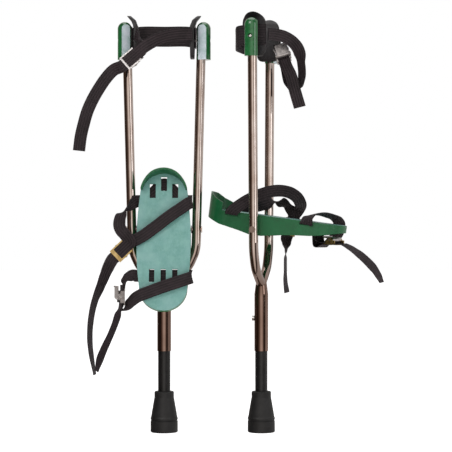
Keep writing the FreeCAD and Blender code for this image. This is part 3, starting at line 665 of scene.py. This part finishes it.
def toe_strap_routes(side):
    if side == "left":
        slots = under_plate(side, TOE_SLOT_V_MM, TOE_SLOT_V_MM, TOE_SLOT_V_MM, 54.5)
        stations = sewn_end(side, "toe") + [
            ((-78, 58, 314), (-0.3, -0.8, 0.4)),
            ((-69, 54, 321), (-0.1, -0.6, 0.75)),
            ((-61, 50, 323.5), (0, -0.24, 0.97)),
        ] + slots + [
            ((56, 50, 322), (0, 0.24, -0.97)),
            ((58, 58, 320), (0.1, 0.24, -0.97)),
            ((51, 65, 318), (0.3, 0, -0.93)),
            ((30, 68, 311), (0.3, 0, -0.95)),
            ((2, 70, 302), (0.3, 0, -0.95)),
            ((-28, 70, 291), (0.3, 0, -0.95)),
            ((-52, 69, 281), (0.3, 0.3, -0.9)),
            ((-69, 66, 266), (0.5, 0.6, -0.6)),
            ((-82.6, 61, 254.5), (0.3, 0.95, 0)),
        ] + buckle_passage(side, "toe", 1)[1:]
        tail = [
            buckle_station(side, "toe", 9.5, 4.8),
            buckle_station(side, "toe", 24, 6.5),
            ((-92, 62, 242), (0.55, 0.8, -0.15)),
            ((-98, 62, 224), (0.5, 0.85, -0.2)),
            ((-107, 64, 202), (0.5, 0.85, -0.2)),
            ((-117, 67, 180), (0.55, 0.8, -0.2)),
            ((-126, 70, 158), (0.6, 0.78, -0.2)),
            ((-134, 71, 131), (0.35, 0.92, -0.1)),
        ]
        return [stations, tail]
    slots = under_plate(side, TOE_SLOT_V_MM, TOE_SLOT_V_MM, TOE_SLOT_V_MM, 55)[::-1]
    stations = sewn_end(side, "toe") + [
        ((41, 118, 380.5), (0.7, 0.7, 0)),
        ((53, 110, 384), (0.4, 0.9, 0)),
        ((60, 107, 396), (0, 1, 0)),
        ((59.5, 106.3, 415), (0, 1, 0)),
    ] + slots + [
        ((-57, 107, 430), (0, 1, 0)),
        ((-54, 109, 440), (0, 0.95, 0.2)),
        ((-38, 117, 447), (-0.2, 0.9, 0.2)),
        ((-14, 130, 448.5), (-0.4, 0.85, 0.2)),
        ((12, 143, 444), (-0.4, 0.85, 0.2)),
        ((36, 150, 439), (-0.3, 0.9, 0.2)),
        ((54, 153, 428), (-0.1, 0.95, 0.2)),
        ((61, 148, 410), (0.1, 0.95, 0.1)),
        ((62, 138, 398), (0.5, 0.8, 0.1)),
        ((55, 123, 392), (0.9, 0.4, 0)),
        ((43, 117, 389.5), (1, 0.1, 0)),
    ] + buckle_passage(side, "toe") + [
        ((5, 188, 378), (0.9, 0.3, 0.2)),
        ((0, 208, 364), (0.85, 0.25, 0.4)),
        ((-4, 229, 345), (0.84, 0.25, 0.46)),
        ((-6, 243, 327), (0.9, 0.2, 0.38)),
        ((-7, 252, 310), (0.97, 0.1, 0.2)),
    ]
    return [stations]


def ride_and_stand_for(piece, body, node_name):
    """Webbing that moves with a body and takes the place of a CAD node."""
    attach(piece, body)
    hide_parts(node_name)


for side in ("left", "right"):
    band = ribbon(side + "_calf_band_web", side, calf_band_route(side), BAND_MM, BAND_WEB, ribs=9)
    ride_and_stand_for(band, side + "_frame", side + "_calf_band")
    for part, routes in (
        ("calf", calf_strap_routes(side)),
        ("heel", heel_strap_routes(side)),
        ("toe", toe_strap_routes(side)),
    ):
        body = side + ("_frame" if part == "calf" else "_plate")
        for number, route in enumerate(routes):
            strap = ribbon(f"{side}_{part}_strap_web_{number}", side, route, WEB_MM, WEBBING, TAIL_CUT)
            ride_and_stand_for(strap, body, f"{side}_{part}_strap")


# Pads: moulded foam slabs with an arched top that leans out over the cap

PAD_HALF_MM = 24.0
PAD_LOW_MM = 768.0
PAD_ARCH_MM = 832.5             # height of the arch's centre
PAD_LEAN = [(768.0, 58.1), (833.0, 58.1), (845.5, 62.0), (857.0, 73.4)]   # (z, x) of its middle
PAD_STRAIGHT_ABOVE_MM = 850.0
PAD_THICK_MM = 9.6
PAD_EDGE_MM = 3.4               # half its thickness at the rim
PAD_PUFF_MM = 0.5
PAD_PUFF_PER_MM = 0.05
PAD_CENTRE_RISE_MM = 8.0
PAD_RINGS = 14
PAD_AROUND = 96
CAP_CENTRE_MM = Vector((81.2, 0.0, 829.5))
CAP_CLEAR_MM = 15.2             # the pad keeps this far from the centre of the cap's dome


def pad_outline(angle):
    """A point of the pad's outline (sideways, z) seen from its flat side."""
    c, s = math.cos(angle), math.sin(angle)
    if s >= 0:
        return PAD_HALF_MM * c, PAD_ARCH_MM + PAD_HALF_MM * s
    drop = PAD_ARCH_MM - PAD_LOW_MM
    squareness = (abs(c) ** 6 + abs(s) ** 6) ** (-1 / 6)
    return PAD_HALF_MM * c * squareness, PAD_ARCH_MM + drop * s * squareness


def pad_middle(z):
    """How far out the middle of the pad is at a height: upright below, leaning out at the top."""
    for (low_z, low_x), (high_z, high_x) in zip(PAD_LEAN, PAD_LEAN[1:]):
        if z <= high_z:
            t = max(0.0, (z - low_z) / (high_z - low_z))
            if high_z < PAD_STRAIGHT_ABOVE_MM:
                t = t * t * (3 - 2 * t)
            return low_x + (high_x - low_x) * t
    return PAD_LEAN[-1][1]


def pad_points(side, sign):
    """Rings from the pad's centre to its rim, first over its outer face and then over its inner."""
    verts = []
    centre_z = (PAD_ARCH_MM + PAD_LOW_MM) / 2 + PAD_CENTRE_RISE_MM
    for face in (1, -1):
        for ring in range(PAD_RINGS + 1):
            t = ring / PAD_RINGS
            reach = math.sin(t * math.pi / 2)
            for step in range(PAD_AROUND):
                y, z = pad_outline(2 * math.pi * step / PAD_AROUND)
                y, z = y * reach, centre_z + (z - centre_z) * reach
                edge = math.sqrt(max(0.0, 1 - reach ** 12))
                spot = Vector((y * PAD_PUFF_PER_MM, z * PAD_PUFF_PER_MM, sign * face * 3.0))
                puff = PAD_PUFF_MM * noise.noise(spot)
                half = edge * (PAD_THICK_MM / 2 + puff) + PAD_EDGE_MM * (1 - edge)
                point = Vector((pad_middle(z) + face * half, y, z))
                off = point - CAP_CENTRE_MM
                if off.length < CAP_CLEAR_MM:
                    point = CAP_CENTRE_MM + off.normalized() * CAP_CLEAR_MM
                verts.append(place(side, (sign * point.x, point.y, point.z)))
    return verts


def pad_mesh(name, side, sign):
    faces = []
    layer = (PAD_RINGS + 1) * PAD_AROUND
    for face in (0, 1):
        for ring in range(PAD_RINGS):
            for step in range(PAD_AROUND):
                after = (step + 1) % PAD_AROUND
                a = face * layer + ring * PAD_AROUND + step
                b = face * layer + ring * PAD_AROUND + after
                quad = (a, b, b + PAD_AROUND, a + PAD_AROUND)
                faces.append(quad if (face == 0) == (sign > 0) else quad[::-1])
    rim = PAD_RINGS * PAD_AROUND
    for step in range(PAD_AROUND):
        after = (step + 1) % PAD_AROUND
        quad = (rim + step, rim + after, layer + rim + after, layer + rim + step)
        faces.append(quad if sign > 0 else quad[::-1])
    return smooth_mesh(name, pad_points(side, sign), faces, PAD_FOAM)


for side in ("left", "right"):
    for where, sign in (("outboard", -1), ("inboard", 1)):
        name = f"{side}_pad_{where}"
        pad = link(name + "_foam", pad_mesh(name, side, sign))
        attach(pad, side + "_frame")
        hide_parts(name)


# Springs: a coil of round wire in place of each CAD spring

SPRING_LOW_MM = 57.7
SPRING_HIGH_MM = 224.2
SPRING_TURNS = 15
SPRING_COIL_MM = 8.6
SPRING_WIRE_MM = 1.5
STEPS_PER_TURN = 28
WIRE_POINTS = 10


def spring_mesh(name, side):
    around, steps = WIRE_POINTS, SPRING_TURNS * STEPS_PER_TURN
    rise = (SPRING_HIGH_MM - SPRING_LOW_MM) / steps
    verts, faces = [], []
    for step in range(steps + 1):
        angle = 2 * math.pi * SPRING_TURNS * step / steps
        out = Vector((math.cos(angle), math.sin(angle), 0))
        centre = out * SPRING_COIL_MM + Vector((0, 0, SPRING_LOW_MM + rise * step))
        for k in range(around):
            way = 2 * math.pi * k / around
            offset = out * math.cos(way) + Vector((0, 0, math.sin(way)))
            verts.append(place(side, centre + offset * SPRING_WIRE_MM))
    for step in range(steps):
        for k in range(around):
            a, b = step * around + k, step * around + (k + 1) % around
            faces.append((a, a + around, b + around, b))
    faces.append(tuple(range(around)))
    faces.append(tuple(reversed(range(steps * around, (steps + 1) * around))))
    return smooth_mesh(name, verts, faces, SPRING_STEEL)


for side in ("left", "right"):
    name = side + "_main_spring"
    spring = link(name + "_coils", spring_mesh(name, side))
    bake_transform(spring)
    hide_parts(name)


# Studio: a pale floor and a white surround; polished metal reflects dark and light bands instead

def studio_world():
    world = bpy.data.worlds.new("studio")
    bpy.context.scene.world = world
    world.use_nodes = True
    tree = world.node_tree
    tree.nodes.clear()
    direction = node(tree, "ShaderNodeTexCoord").outputs["Generated"]
    split = node(tree, "ShaderNodeSeparateXYZ", {"Vector": direction})
    towards_camera = math_node(tree, "MULTIPLY", split.outputs["Y"], -1.0)
    angle = math_node(tree, "ARCTAN2", split.outputs["X"], towards_camera)
    turn_share = math_node(tree, "MULTIPLY_ADD", angle, 1 / (2 * math.pi), 0.5)
    bands = ramp(tree, turn_share, [
        (0.00, (0.75, 0.72, 0.70)), (0.10, (0.50, 0.45, 0.42)), (0.17, (0.035, 0.024, 0.017)),
        (0.34, (0.050, 0.032, 0.022)), (0.41, (0.22, 0.16, 0.13)), (0.47, (0.90, 0.84, 0.78)),
        (0.53, (1.0, 0.95, 0.90)), (0.575, (0.42, 0.35, 0.31)), (0.61, (0.045, 0.03, 0.022)),
        (0.67, (0.05, 0.035, 0.028)), (0.72, (0.60, 0.56, 0.54)), (0.90, (0.64, 0.62, 0.60)),
        (1.00, (0.75, 0.72, 0.70)),
    ])
    seen = node(tree, "ShaderNodeBackground", {"Color": (1, 1, 1, 1), "Strength": 1.0})
    reflected = node(tree, "ShaderNodeBackground", {"Color": bands, "Strength": 1.0})
    ambient = node(tree, "ShaderNodeBackground", {"Color": (1, 1, 1, 1), "Strength": 0.4})
    paths = node(tree, "ShaderNodeLightPath")
    shiny = node(tree, "ShaderNodeMixShader")
    tree.links.new(paths.outputs["Is Glossy Ray"], shiny.inputs[0])
    tree.links.new(ambient.outputs[0], shiny.inputs[1])
    tree.links.new(reflected.outputs[0], shiny.inputs[2])
    whole = node(tree, "ShaderNodeMixShader")
    tree.links.new(paths.outputs["Is Camera Ray"], whole.inputs[0])
    tree.links.new(shiny.outputs[0], whole.inputs[1])
    tree.links.new(seen.outputs[0], whole.inputs[2])
    output = node(tree, "ShaderNodeOutputWorld")
    tree.links.new(whole.outputs[0], output.inputs["Surface"])


def area_light(name, location, target, size, watts):
    """A soft rectangular light that faces its target."""
    light = bpy.data.lights.new(name, "AREA")
    light.shape = "RECTANGLE"
    light.size, light.size_y = size
    light.energy = watts
    thing = link(name, light)
    thing.location = location
    thing.rotation_euler = (Vector(target) - Vector(location)).to_track_quat("-Z", "Y").to_euler()
    return thing


def floor():
    material, tree, shader = new_material("floor_white")
    cloud = noise_value(tree, 6.0, 3.0)
    colour = ramp(tree, cloud, [(0.2, grey(0.93)), (0.8, grey(0.96))])
    tree.links.new(colour, shader.inputs["Base Color"])
    shader.inputs["Roughness"].default_value = 0.9
    shader.inputs["Emission Color"].default_value = (1, 1, 1, 1)
    shader.inputs["Emission Strength"].default_value = 0.8
    mesh = bpy.data.meshes.new("floor")
    corners = [(-FLOOR_REACH, -FLOOR_REACH, 0), (FLOOR_REACH, -FLOOR_REACH, 0),
               (FLOOR_REACH, FLOOR_REACH, 0), (-FLOOR_REACH, FLOOR_REACH, 0)]
    mesh.from_pydata(corners, [], [(0, 1, 2, 3)])
    mesh.materials.append(material)
    thing = link("floor", mesh)
    thing.visible_glossy = False


studio_world()
floor()
area_light("key", (-0.9, -1.7, 1.9), (0.1, 0, 0.45), (1.2, 1.2), 20)
area_light("fill", (1.6, -1.2, 0.9), (0.15, 0, 0.4), (0.8, 1.4), 7)
area_light("top", (0.1, 0.2, 2.2), (0.1, 0, 0.4), (1.4, 1.4), 9)

camera_data = bpy.data.cameras.new("camera")
camera_data.sensor_width = SENSOR_MM
camera_data.lens = SENSOR_MM * CAMERA_DISTANCE / VIEW_WIDTH
camera = link("camera", camera_data)
camera.location = (VIEW_CENTRE_X, -CAMERA_DISTANCE, CAMERA_HEIGHT)
camera.rotation_euler = (math.radians(90), 0, 0)
bpy.context.scene.camera = camera
bpy.context.scene.view_settings.view_transform = "Standard"
